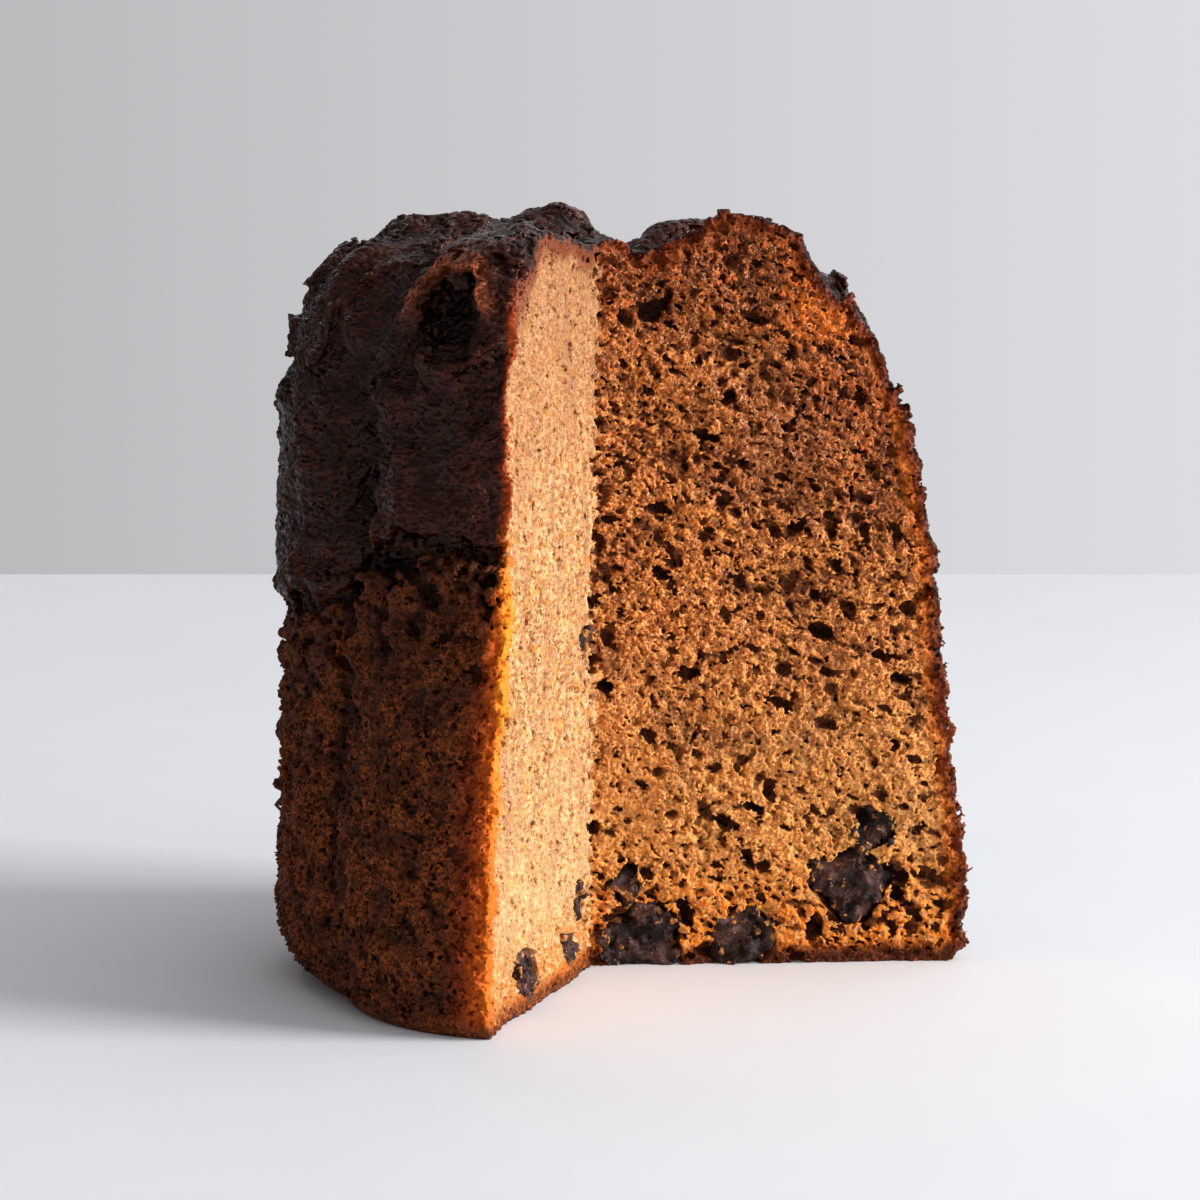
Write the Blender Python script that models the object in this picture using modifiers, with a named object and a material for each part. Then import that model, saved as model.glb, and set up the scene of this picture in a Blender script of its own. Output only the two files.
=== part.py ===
"""A tall individual chocolate cake, baked in a six-lobed tin, with one wedge cut out of it.

Metres, +Z up. The origin is the middle of the base, where the cake's own axis meets the table, and -Y is the
side that the missing wedge opens to. The cake is one solid. Each piece of chocolate that the two cuts
went through is a solid of its own, set in a pocket of the crumb.
"""

import math

import bmesh
import bpy
from mathutils import Matrix, Vector

MM = 0.001

# The cake's outside, in millimetres. Azimuths are in degrees, anticlockwise from +X.
RIM_Z = 49.0                  # the tin's rim: above it the batter rose free
WIDEST_Z = 9.0                # the tin's wall starts here, above the rounded foot
RIM_BLEND = 3.0               # half the height over which the tin's flutes pass into the crown's
FLUTE_DEPTH = (2.6, 3.4)      # of the valleys between lobes, below and above the rim
FLUTE_SHARPNESS = 0.8         # below 1, the valleys are creases and the crests are broad
CENTRE_DIP = 4.8              # the hollow in the middle of the top
CENTRE_DIP_RADIUS = 11.0
CENTRE_HEIGHT = 96.0          # of the middle of the top, before the dip
TOP_CREASE = 3.4              # how deep the valleys run on over the top
TOP_CREASE_START = 15.0       # they reach that depth this far from the axis
TOP_CREASE_SHARPNESS = 1.6    # above 1, they are broad there

# The six lobes rose unevenly. Each: azimuth of its crest, radius above the foot, at the rim, of the crown at
# its bottom and at its top, the crown's height, the squareness of its outline (2 is an ellipse), and the
# foot's rounding.
LOBES = (
    (0, 44.2, 39.6, 39.4, 32.0, 97.0, 3.3, 2.6),
    (60, 43.6, 40.2, 40.0, 36.0, 94.6, 3.6, 3.5),
    (120, 43.8, 41.2, 41.6, 40.0, 95.0, 4.0, 5.0),
    (180, 44.0, 42.4, 43.2, 43.2, 95.6, 4.6, 7.5),
    (240, 45.7, 38.7, 38.4, 37.0, 96.6, 5.5, 1.2),
    (300, 44.4, 38.8, 38.4, 35.0, 96.6, 4.5, 2.0),
)

# The missing wedge. Both cut faces stand on the table and meet in the inner corner.
INNER_CORNER = (-4.4, 0.0)
CUT_AZIMUTH_RIGHT = 3.4       # the face that runs to the cake's right
CUT_AZIMUTH_FRONT = 253.8     # the face that runs to the cake's front
CUT_REACH = 160.0             # how far the cutter runs along each face
BLOCK_HEIGHT = 100.0          # a little more than the cake's, for what is cut away above and below

# The turned blank before it is fluted.
SEGMENTS = 72
FOOT_STEPS = 4
WALL_STEPS = 9
CROWN_STEPS = 13

POCKET_GAP = 0.3              # between a piece of chocolate and the crumb round it
LUMP_UNEVENNESS = (0.12, 0.08)  # shares of a lump's size, for its broad and its finer corners
SHARP_ANGLE = 40              # degrees, for shading

# The chocolate. Each: face it shows on, distance from the inner corner along that face, height, how far its
# middle lies behind the face, its half sizes (along the face, into the crumb, up) and its tilt in degrees.
CHIPS = (
    ("right", 36.6, 17.4, 1.0, (2.3, 3.0, 2.3), 20),
    ("right", 33.6, 10.0, 1.6, (5.1, 4.8, 4.3), -14),
    ("right", 19.2, 3.0, 1.2, (3.9, 4.2, 4.0), 12),
    ("right", 7.0, 3.0, 1.4, (4.9, 4.6, 4.2), -8),
    ("right", 4.6, 10.3, 0.8, (1.5, 2.6, 2.5), -6),
    ("front", 27.0, 4.6, 0.8, (4.0, 2.8, 2.7), 10),
    ("front", 4.4, 9.4, 0.8, (2.2, 2.2, 2.2), 0),
    ("front", 9.5, 4.0, 0.7, (2.4, 2.0, 1.9), 0),
    ("front", 2.6, 42.0, 0.6, (1.4, 1.6, 1.6), 0),
)

CAKE_COLOUR = (0.26, 0.10, 0.035)
CHOCOLATE_COLOUR = (0.035, 0.014, 0.010)


def clear_scene():
    for obj in list(bpy.data.objects):
        bpy.data.objects.remove(obj)


def collection_named(name):
    made = bpy.data.collections.new(name)
    bpy.context.scene.collection.children.link(made)
    return made


def material_named(name, colour, roughness):
    made = bpy.data.materials.new(name)
    made.use_nodes = True
    shader = made.node_tree.nodes["Principled BSDF"]
    shader.inputs["Base Color"].default_value = (*colour, 1.0)
    shader.inputs["Roughness"].default_value = roughness
    shader.inputs["Metallic"].default_value = 0.0
    return made


def blend(pair, share):
    """The value between a pair, the first at share 0 and the second at share 1."""
    return pair[0] + (pair[1] - pair[0]) * share


def smooth_step(low, high, value):
    share = min(1.0, max(0.0, (value - low) / (high - low)))
    return share * share * (3 - 2 * share)


def lobe_values(azimuth):
    """The seven values of LOBES at an azimuth, passing smoothly from each crest to the next."""
    step = 360 / len(LOBES)
    turn = ((azimuth - LOBES[0][0]) / step) % len(LOBES)
    index = int(turn)
    share = smooth_step(0.0, 1.0, turn - index)
    here, after = LOBES[index], LOBES[(index + 1) % len(LOBES)]
    return [blend(pair, share) for pair in zip(here[1:], after[1:])]


def valley(azimuth, sharpness):
    """0 on a lobe's crest and 1 in the crease between two lobes."""
    turn = math.radians(azimuth - LOBES[0][0]) * len(LOBES) / 2
    return 1.0 - abs(math.cos(turn)) ** sharpness


def foot_point(azimuth, share):
    """Radius and height on the rounded bottom edge, from the base at share 0 to the wall at share 1."""
    foot, *_, rounding = lobe_values(azimuth)
    angle = share * math.pi / 2
    return foot - rounding * (1 - math.sin(angle)), WIDEST_Z * (1 - math.cos(angle))


def wall_point(azimuth, share):
    """Radius and height on the part that the tin shaped, from just above the foot to the rim."""
    foot, rim, *_ = lobe_values(azimuth)
    return blend((foot, rim), share), blend((WIDEST_Z, RIM_Z), share)


def crown_point(azimuth, share):
    """Radius and height on the crown, from the rim to the middle of the top."""
    _, _, low, high, crest, squareness, _ = lobe_values(azimuth)
    angle = share * math.pi / 2
    rise = math.sin(angle) ** (2 / squareness)
    radius = blend((low, high), rise) * max(0.0, math.cos(angle)) ** (2 / squareness)
    off_centre = smooth_step(0.0, TOP_CREASE_START, radius)
    top = blend((CENTRE_HEIGHT, crest), off_centre)
    height = blend((RIM_Z, top), rise)
    dip = CENTRE_DIP * math.exp(-((radius / CENTRE_DIP_RADIUS) ** 2))
    crease = TOP_CREASE * valley(azimuth, TOP_CREASE_SHARPNESS) * off_centre
    return radius, height - (dip + crease) * smooth_step(RIM_Z, top, height) ** 2


def fluted(azimuth, radius, height):
    """The radius once the crease between lobes is pressed in, which fades out towards the axis."""
    depth = blend(FLUTE_DEPTH, smooth_step(RIM_Z - RIM_BLEND, RIM_Z + RIM_BLEND, height))
    return radius - depth * valley(azimuth, FLUTE_SHARPNESS) * min(1.0, radius / LOBES[0][1]) ** 2


def blank_profile():
    """The blank's outline, from the middle of the top down its outer side to the middle of the base.

    Each point is (stretch of the outline, share along it), which shape_cake turns into a radius and a height.
    """
    steps = [("crown", 1 - i / CROWN_STEPS) for i in range(CROWN_STEPS + 1)]
    steps += [("wall", 1 - i / WALL_STEPS) for i in range(1, WALL_STEPS + 1)]
    steps += [("foot", 1 - i / FOOT_STEPS) for i in range(1, FOOT_STEPS + 1)]
    return steps


POINT_ON = {"crown": crown_point, "wall": wall_point, "foot": foot_point}


def turned_blank(steps):
    """A round blank with one ring for each step of the outline. Ring i lies at height -i until shaped."""
    mesh = bpy.data.meshes.new("cake")
    points = [(0.0, 0.0, 0.0)] + [(1.0, 0.0, -i) for i in range(1, len(steps))] + [(0.0, 0.0, -len(steps))]
    mesh.from_pydata(points, [(i, i + 1) for i in range(len(points) - 1)], [])
    blank = bpy.data.objects.new("cake", mesh)
    screw = blank.modifiers.new("turn", "SCREW")
    screw.steps = SEGMENTS
    screw.render_steps = SEGMENTS
    screw.use_merge_vertices = True
    screw.merge_threshold = 0.0001
    bpy.context.scene.collection.objects.link(blank)
    graph = bpy.context.evaluated_depsgraph_get()
    turned = bpy.data.meshes.new_from_object(blank.evaluated_get(graph), depsgraph=graph)
    bpy.data.objects.remove(blank)
    return turned


def shape_cake(collection, material):
    """Turns the blank and moves each of its rings to the cake's outline."""
    steps = blank_profile()
    mesh = turned_blank(steps)
    for vertex in mesh.vertices:
        ring = round(-vertex.co.z)
        azimuth = math.degrees(math.atan2(vertex.co.y, vertex.co.x))
        if ring == 0:
            radius, height = crown_point(0.0, 1.0)
        elif ring == len(steps):
            radius, height = 0.0, 0.0
        else:
            stretch, share = steps[ring]
            radius, height = POINT_ON[stretch](azimuth, share)
            radius = fluted(azimuth, radius, height)
        turn = math.radians(azimuth)
        vertex.co = Vector((radius * math.cos(turn), radius * math.sin(turn), height)) * MM
    cake = bpy.data.objects.new("cake", mesh)
    collection.objects.link(cake)
    mesh.materials.clear()
    mesh.materials.append(material)
    mesh.shade_smooth()
    mesh.set_sharp_from_angle(angle=math.radians(SHARP_ANGLE))
    return cake


def wedge_cutter(collection):
    """A triangular prism whose two upright faces are the cake's two cut faces."""
    corner = Vector((*INNER_CORNER, 0.0))
    far = []
    for azimuth in (CUT_AZIMUTH_FRONT - 360, CUT_AZIMUTH_RIGHT):
        turn = math.radians(azimuth)
        far.append(corner + CUT_REACH * Vector((math.cos(turn), math.sin(turn), 0.0)))
    mesh = bpy.data.meshes.new("missing_wedge")
    body = bmesh.new()
    outline = [corner, *far]
    face = body.faces.new([body.verts.new(p * MM) for p in outline])
    raised = bmesh.ops.extrude_face_region(body, geom=[face])["geom"]
    bmesh.ops.translate(
        body,
        vec=Vector((0.0, 0.0, 2 * BLOCK_HEIGHT * MM)),
        verts=[item for item in raised if isinstance(item, bmesh.types.BMVert)],
    )
    bmesh.ops.translate(body, vec=Vector((0.0, 0.0, -BLOCK_HEIGHT / 2 * MM)), verts=body.verts)
    bmesh.ops.recalc_face_normals(body, faces=body.faces)
    body.to_mesh(mesh)
    body.free()
    cutter = bpy.data.objects.new("missing_wedge", mesh)
    return as_helper(cutter, collection)


def as_helper(obj, collection):
    collection.objects.link(obj)
    obj.hide_render = True
    obj.display_type = "WIRE"
    return obj


def face_frame(face):
    """Directions along a cut face away from the inner corner, and into the crumb behind it."""
    if face == "right":
        turn = math.radians(CUT_AZIMUTH_RIGHT)
        return Vector((math.cos(turn), math.sin(turn), 0.0)), Vector((-math.sin(turn), math.cos(turn), 0.0))
    turn = math.radians(CUT_AZIMUTH_FRONT)
    return Vector((math.cos(turn), math.sin(turn), 0.0)), Vector((math.sin(turn), -math.cos(turn), 0.0))


def chip_placement(chip):
    face, along, height, behind, _, tilt = chip
    run, inward = face_frame(face)
    place = Vector((*INNER_CORNER, height)) + run * along + inward * behind
    across = Matrix((run, inward, (0.0, 0.0, 1.0))).transposed().to_4x4()
    return Matrix.Translation(place * MM) @ across @ Matrix.Rotation(math.radians(tilt), 4, "Y")


def lump_mesh(name, half_sizes, index, grown=0.0):
    """A broken lump of chocolate: a coarse ball whose corners stand at uneven distances from its middle."""
    body = bmesh.new()
    bmesh.ops.create_icosphere(body, subdivisions=2, radius=1.0)
    for vertex in body.verts:
        direction = vertex.co.normalized()
        uneven = 1.0 + LUMP_UNEVENNESS[0] * math.sin(3 * direction.x + 2 * direction.z + index)
        uneven += LUMP_UNEVENNESS[1] * math.cos(4 * direction.y - 3 * direction.z + 2 * index)
        vertex.co = Vector([d * (h * uneven + grown) * MM for d, h in zip(direction, half_sizes)])
    mesh = bpy.data.meshes.new(name)
    body.to_mesh(mesh)
    body.free()
    return mesh


def cut(target, cutter, name):
    boolean = target.modifiers.new(name, "BOOLEAN")
    boolean.operation = "DIFFERENCE"
    boolean.solver = "EXACT"
    boolean.object = cutter


def add_chips(cake, wedge, parts, helpers, material):
    """Cuts each lump flush with the cake's cut face and gives the crumb a pocket a little larger than it."""
    floor = table_slab(helpers)
    for index, chip in enumerate(CHIPS, start=1):
        name = f"chocolate_chip_{index}"
        placed = chip_placement(chip)
        lump = bpy.data.objects.new(name, lump_mesh(name, chip[4], index))
        lump.matrix_world = placed
        lump.data.materials.append(material)
        parts.objects.link(lump)
        cut(lump, wedge, "flush with the cut")
        cut(lump, floor, "flat on the base")
        pocket = bpy.data.objects.new(name + "_pocket", lump_mesh(name, chip[4], index, POCKET_GAP))
        pocket.matrix_world = placed
        as_helper(pocket, helpers)
        cut(cake, pocket, name)


def table_slab(collection):
    """What lies below the base, so that no lump reaches under the cake."""
    bpy.ops.mesh.primitive_cube_add(size=1.0, location=(0.0, 0.0, -BLOCK_HEIGHT / 2 * MM))
    slab = bpy.context.object
    slab.name = "table"
    slab.scale = (4 * BLOCK_HEIGHT * MM, 4 * BLOCK_HEIGHT * MM, BLOCK_HEIGHT * MM)
    for holder in slab.users_collection:
        holder.objects.unlink(slab)
    return as_helper(slab, collection)


def build():
    clear_scene()
    parts = collection_named("chocolate_cake")
    helpers = collection_named("cutters")
    crumb = material_named("cake", CAKE_COLOUR, 0.85)
    chocolate = material_named("chocolate", CHOCOLATE_COLOUR, 0.55)
    cake = shape_cake(parts, crumb)
    wedge = wedge_cutter(helpers)
    cut(cake, wedge, "missing wedge")
    add_chips(cake, wedge, parts, helpers, chocolate)


build()
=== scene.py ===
"""The looks of a cut chocolate cake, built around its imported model.

The cake's visual solid is carved in a voxel grid: its fluted outside with the risen crust's folds, the two
cut faces with the crumb's bubbles, and the pockets round the chocolate. Lengths are in millimetres until a
mesh is made, and azimuths are in degrees, anticlockwise from +X. Lights, floor and camera are in metres.
"""

import math

import bpy
import numpy as np
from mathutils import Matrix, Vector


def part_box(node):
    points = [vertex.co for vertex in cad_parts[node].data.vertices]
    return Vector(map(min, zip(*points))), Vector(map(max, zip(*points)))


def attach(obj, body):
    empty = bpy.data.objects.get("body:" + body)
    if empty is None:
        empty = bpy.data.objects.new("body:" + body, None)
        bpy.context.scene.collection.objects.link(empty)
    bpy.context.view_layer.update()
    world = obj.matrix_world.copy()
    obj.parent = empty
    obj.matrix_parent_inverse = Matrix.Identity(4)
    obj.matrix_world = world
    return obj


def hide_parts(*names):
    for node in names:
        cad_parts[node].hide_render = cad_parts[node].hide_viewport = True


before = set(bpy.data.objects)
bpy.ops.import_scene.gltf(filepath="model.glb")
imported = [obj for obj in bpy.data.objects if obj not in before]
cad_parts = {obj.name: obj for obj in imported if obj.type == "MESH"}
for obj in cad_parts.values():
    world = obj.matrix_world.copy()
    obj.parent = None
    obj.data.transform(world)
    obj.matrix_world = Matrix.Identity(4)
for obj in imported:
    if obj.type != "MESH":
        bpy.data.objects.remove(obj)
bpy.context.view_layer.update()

import openvdb
from mathutils import Vector

MM = 0.001
VOXEL = 0.2
CHIP_VOXEL = 0.14
GRID_LOW = np.array([-47.0, -45.0, -2.0])
GRID_HIGH = np.array([47.0, 46.0, 99.5])
CARVED = 4.6                  # how deep below the smooth outside anything is carved
RAISED = 2.4                  # how far out of it anything stands
CUT_BAND = 2.6                # how far to either side of a cut face anything is carved or added
CRUST = 0.35                  # less than this below the outside, a point counts as crust

# The outside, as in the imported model.
RIM_Z = 49.0
WIDEST_Z = 9.0
RIM_BLEND = 3.0
FLUTE_DEPTH = (2.6, 3.4)
FLUTE_SHARPNESS = 0.8
CENTRE_DIP = 4.8
CENTRE_DIP_RADIUS = 11.0
CENTRE_HEIGHT = 96.0
TOP_CREASE = 3.4
TOP_CREASE_START = 15.0
TOP_CREASE_SHARPNESS = 1.6
LOBES = np.array((
    (0, 44.2, 39.6, 39.4, 32.0, 97.0, 3.3, 2.6),
    (60, 43.6, 40.2, 40.0, 36.0, 94.6, 3.6, 3.5),
    (120, 43.8, 41.2, 41.6, 40.0, 95.0, 4.0, 5.0),
    (180, 44.0, 42.4, 43.2, 43.2, 95.6, 4.6, 7.5),
    (240, 45.7, 38.7, 38.4, 37.0, 96.6, 5.5, 1.2),
    (300, 44.4, 38.8, 38.4, 35.0, 96.6, 4.5, 2.0),
))

# The missing wedge, and how far the front cut leans from the base up to the corner's top.
INNER_CORNER = np.array([-4.4, 0.0])
CUT_AZIMUTH_RIGHT = 3.4
CUT_AZIMUTH_FRONT = 253.8
CORNER_LEAN = (-0.2, 0.9)
CORNER_TOP = 92.0

# The lip where the risen crust overhangs the tin's crust: heights at azimuths, how far it wanders from
# them on the far side, and the azimuth where it overhangs most.
LIP_AZIMUTHS = (0, 40, 80, 120, 160, 189, 205, 219, 232, 254, 300, 360)
LIP_HEIGHTS = (50, 47, 51, 48, 50, 48, 52, 57, 58.5, 58.5, 52, 50)
LIP_WANDER = 2.4
OVERHANG_AZIMUTH = 215.0

# The deep hollow between the left lobe and the near one, and the burst blister near the top of the near
# lobe: azimuth, height, half sizes across and up. Then how deep each goes.
HOLLOW = (211.5, 65.0, 3.2, 8.5)
BLISTER = (233.0, 84.5, 5.6, 6.8)
HOLLOW_DEPTH = 4.0
BLISTER_DEPTH = 3.4

# The groove between those lobes in the tin's crust: azimuth, half width in degrees and depth.
GROOVE = (210.0, 1.8, 1.5)

# Broad dents (negative) and humps in the top: azimuth, distance from the axis, half width and rise.
TOP_HUMPS = (
    (238.0, 16.0, 7.0, -1.7),
    (30.0, 23.0, 9.0, 1.5),
    (4.0, 24.0, 5.0, -0.9),
)

# Small knobs of crust: azimuth, height, half width and how far each stands out.
KNOBS = (
    (196.5, 91.0, 1.6, 1.4),
    (186.0, 50.5, 1.0, 1.1),
    (206.0, 74.0, 1.4, 0.6),
    (229.0, 90.5, 1.8, 0.7),
    (150.0, 71.0, 1.8, 0.9),
    (97.0, 80.0, 1.6, 0.8),
    (45.0, 66.0, 1.4, 0.8),
)

# The chocolate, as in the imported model: face, distance along it, height, how far behind it the middle
# lies, half sizes (along, into the crumb, up) and tilt in degrees.
CHIPS = (
    ("right", 36.6, 17.4, 1.0, (2.3, 3.0, 2.3), 20),
    ("right", 33.6, 10.0, 1.6, (5.1, 4.8, 4.3), -14),
    ("right", 19.2, 3.0, 1.2, (3.9, 4.2, 4.0), 12),
    ("right", 7.0, 3.0, 1.4, (4.9, 4.6, 4.2), -8),
    ("right", 4.6, 10.3, 0.8, (1.5, 2.6, 2.5), -6),
    ("front", 27.0, 4.6, 0.8, (4.0, 2.8, 2.7), 10),
    ("front", 4.4, 9.4, 0.8, (2.2, 2.2, 2.2), 0),
    ("front", 9.5, 4.0, 0.7, (2.4, 2.0, 1.9), 0),
    ("front", 2.6, 42.0, 0.6, (1.4, 1.6, 1.6), 0),
)

# Bubbles that stand out on the right face: distance along it, height, half sizes (along, into the crumb,
# up) and tilt in degrees.
BIG_BUBBLES = (
    (7.6, 83.6, (2.0, 2.6, 1.6), 10),
    (9.6, 85.0, (0.8, 2.0, 1.6), -20),
    (21.2, 82.4, (2.0, 1.8, 0.5), 0),
    (18.0, 78.2, (1.3, 1.3, 1.0), 10),
    (27.2, 73.4, (0.5, 1.6, 2.2), -35),
    (25.4, 69.6, (0.4, 1.4, 2.4), -40),
    (33.0, 60.8, (0.5, 1.6, 2.0), 8),
    (38.0, 65.6, (0.9, 1.3, 0.9), 0),
    (30.6, 55.8, (0.7, 1.2, 1.5), 25),
    (28.8, 47.4, (1.3, 1.6, 1.0), -5),
    (29.4, 42.8, (1.8, 2.0, 1.2), -15),
    (39.8, 36.6, (1.9, 1.5, 0.8), -12),
    (24.6, 38.0, (1.2, 1.2, 1.3), 20),
    (19.4, 26.4, (0.9, 1.2, 0.8), 0),
    (34.6, 19.6, (1.3, 1.4, 0.9), -10),
    (28.8, 4.6, (1.3, 2.0, 1.9), 0),
    (12.2, 6.6, (0.9, 2.6, 2.4), 24),
    (15.0, 1.9, (1.8, 2.4, 1.2), 0),
    (39.4, 8.9, (1.0, 2.6, 1.9), 5),
)


# The photo's camera: where it stands in metres, how far it looks down in degrees, and its lens.
CAMERA_PLACE = (-0.0031, -0.625, 0.138)
CAMERA_TILT = 8.27
CAMERA_LENS = 150.0
SENSOR_WIDTH = 36.0


# ---------------------------------------------------------------- numbers

def blend(low, high, share):
    return low + (high - low) * share


def smooth_step(low, high, value):
    share = np.clip((value - low) / (high - low), 0.0, 1.0)
    return share * share * (3 - 2 * share)


def bump(value, middle, half_width):
    """1 at the middle, falling smoothly to nothing a few half widths away."""
    return np.exp(-(((value - middle) / half_width) ** 2))


def angle_from(azimuth, middle):
    """Degrees from one azimuth to another, -180 to 180."""
    return (azimuth - middle + 180.0) % 360.0 - 180.0


class Noise:
    """Smooth random values of unit spread in a cube that repeats, with one main wavelength."""

    def __init__(self, wavelength, seed, spacing, count=128, stretch=(1.0, 1.0, 1.0)):
        random = np.random.default_rng(seed)
        white = random.standard_normal((count, count, count)).astype(np.float32)
        full, half = np.fft.fftfreq(count, spacing), np.fft.rfftfreq(count, spacing)
        squares = [(w * s) ** 2 for w, s in zip((full, full, half), stretch)]
        length = np.sqrt(squares[0][:, None, None] + squares[1][None, :, None] + squares[2][None, None, :])
        kept = np.exp(-(((length * wavelength - 1.0) / 0.55) ** 2))
        values = np.fft.irfftn(np.fft.rfftn(white) * kept, s=white.shape)
        self.values = (values / values.std()).astype(np.float32).ravel()
        self.count = count
        self.spacing = spacing

    def at_cells(self, cells):
        """The value at whole grid cells, for noise as fine as the grid."""
        i, j, k = (c % self.count for c in cells)
        return self.values[(i * self.count + j) * self.count + k]

    def at(self, x, y, z):
        """The value anywhere, blended between the cube's points."""
        total = np.zeros(len(x), np.float32)
        scaled = [c / self.spacing for c in (x, y, z)]
        low = [np.floor(c).astype(np.int32) for c in scaled]
        part = [(c - l).astype(np.float32) for c, l in zip(scaled, low)]
        for corner in range(8):
            side = [(corner >> axis) & 1 for axis in range(3)]
            weight = np.ones(len(x), np.float32)
            for p, s in zip(part, side):
                weight *= p if s else 1 - p
            total += weight * self.at_cells([l + s for l, s in zip(low, side)])
        return total


# ---------------------------------------------------------------- the smooth outside

def lobe_values(azimuth):
    turn = ((azimuth - LOBES[0, 0]) / 60.0) % 6
    index = turn.astype(int) % 6
    share = smooth_step(0.0, 1.0, turn - index)[:, None]
    return blend(LOBES[index, 1:], LOBES[(index + 1) % 6, 1:], share).T


def valley(azimuth, sharpness):
    return 1.0 - np.abs(np.cos(np.radians(azimuth - LOBES[0, 0]) * 3)) ** sharpness


def outline(azimuth, stretch, share):
    """Radius and height on the outside at every azimuth, for one point of its outline."""
    foot, rim, low, high, crest, squareness, rounding = lobe_values(azimuth)
    angle = share * math.pi / 2
    if stretch == "foot":
        radius = foot - rounding * (1 - math.sin(angle))
        height = np.full_like(azimuth, WIDEST_Z * (1 - math.cos(angle)))
    elif stretch == "wall":
        radius = blend(foot, rim, share)
        height = np.full_like(azimuth, blend(WIDEST_Z, RIM_Z, share))
    else:
        rise = math.sin(angle) ** (2 / squareness)
        radius = blend(low, high, rise) * math.cos(angle) ** (2 / squareness)
        off_centre = smooth_step(0.0, TOP_CREASE_START, radius)
        top = blend(CENTRE_HEIGHT, crest, off_centre)
        height = blend(RIM_Z, top, rise)
        dip = CENTRE_DIP * bump(radius, 0.0, CENTRE_DIP_RADIUS)
        crease = TOP_CREASE * valley(azimuth, TOP_CREASE_SHARPNESS) * off_centre
        height = height - (dip + crease) * smooth_step(RIM_Z, top, height) ** 2
    depth = blend(*FLUTE_DEPTH, smooth_step(RIM_Z - RIM_BLEND, RIM_Z + RIM_BLEND, height))
    radius = radius - depth * valley(azimuth, FLUTE_SHARPNESS) * np.minimum(1.0, radius / LOBES[0, 1]) ** 2
    return radius, height


def outside_mesh(columns=360):
    """Points and faces of the smooth outside, closed at the middle of the top and of the base."""
    azimuth = np.arange(columns) * 360.0 / columns
    steps = [("crown", s) for s in np.linspace(0.995, 0.0, 120)]
    steps += [("wall", s) for s in np.linspace(0.97, 0.0, 40)]
    steps += [("foot", s) for s in np.linspace(0.95, 0.0, 16)]
    turn = np.radians(azimuth)
    rows = []
    for stretch, share in steps:
        radius, height = outline(azimuth, stretch, share)
        rows.append(np.stack([radius * np.cos(turn), radius * np.sin(turn), height], 1))
    centre_top = [[0.0, 0.0, rows[0][:, 2].mean()]]
    points = np.concatenate([*rows, centre_top, [[0.0, 0.0, 0.0]]]).astype(np.float32)
    row = np.arange(len(rows) - 1)[:, None] * columns
    here = np.arange(columns)
    after = (here + 1) % columns
    quads = np.stack([row + here, row + columns + here, row + columns + after, row + after], -1)
    last = (len(rows) - 1) * columns
    top = np.stack([np.full(columns, len(points) - 2), here, after], 1)
    base = np.stack([np.full(columns, len(points) - 1), last + after, last + here], 1)
    return points, np.concatenate([top, base]).astype(np.uint32), quads.reshape(-1, 4).astype(np.uint32)


def distance_grid(points, triangles, quads, voxel, outside, inside):
    """Signed distance to a closed mesh over the whole grid, negative inside, in millimetres."""
    transform = openvdb.createLinearTransform(voxelSize=voxel)
    grid = openvdb.FloatGrid.createLevelSetFromPolygons(
        points, triangles=triangles, quads=quads, transform=transform,
        exBandWidth=outside / voxel, inBandWidth=inside / voxel,
    )
    low = np.floor(GRID_LOW / voxel).astype(int)
    shape = np.ceil(GRID_HIGH / voxel).astype(int) - low
    values = np.empty(shape, np.float32)
    grid.copyToArray(values, ijk=tuple(int(v) for v in low))
    return values, low


# ---------------------------------------------------------------- the cut faces

def face_axes(face):
    """Directions along a cut face away from the inner corner, and into the crumb behind it."""
    if face == "right":
        turn = math.radians(CUT_AZIMUTH_RIGHT)
        return np.array([math.cos(turn), math.sin(turn)]), np.array([-math.sin(turn), math.cos(turn)])
    turn = math.radians(CUT_AZIMUTH_FRONT)
    return np.array([math.cos(turn), math.sin(turn)]), np.array([math.sin(turn), -math.cos(turn)])


def face_place(face, x, y, z):
    """Distance along a cut face from the inner corner, and behind it into the crumb."""
    along, inward = face_axes(face)
    lean = blend(*CORNER_LEAN, np.clip(z / CORNER_TOP, 0.0, 1.0)) if face == "front" else 0.0
    dx = x - INNER_CORNER[0]
    dy = y - INNER_CORNER[1]
    return dx * along[0] + dy * along[1], dx * inward[0] + dy * inward[1] + lean


def chip_distance(chip, index, x, y, z):
    """Signed distance to one whole lump of chocolate, negative inside it."""
    face, along, height, behind, half, tilt = chip
    run, inward = face_axes(face)
    dx = x - INNER_CORNER[0] - run[0] * along - inward[0] * behind
    dy = y - INNER_CORNER[1] - run[1] * along - inward[1] * behind
    u = dx * run[0] + dy * run[1]
    v = dx * inward[0] + dy * inward[1]
    w = z - height
    cosine, sine = math.cos(math.radians(tilt)), math.sin(math.radians(tilt))
    u, w = u * cosine + w * sine, -u * sine + w * cosine
    u, v, w = u / half[0], v / half[1], w / half[2]
    random = np.random.default_rng(40 + index)
    facets = random.standard_normal((11, 3))
    facets /= np.linalg.norm(facets, axis=1)[:, None]
    far = np.sqrt(u * u + v * v + w * w) - 1.12
    for facet in facets:
        far = np.maximum(far, u * facet[0] + v * facet[1] + w * facet[2] - random.uniform(0.74, 0.98))
    return far * min(half)


# ---------------------------------------------------------------- bubbles

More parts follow.
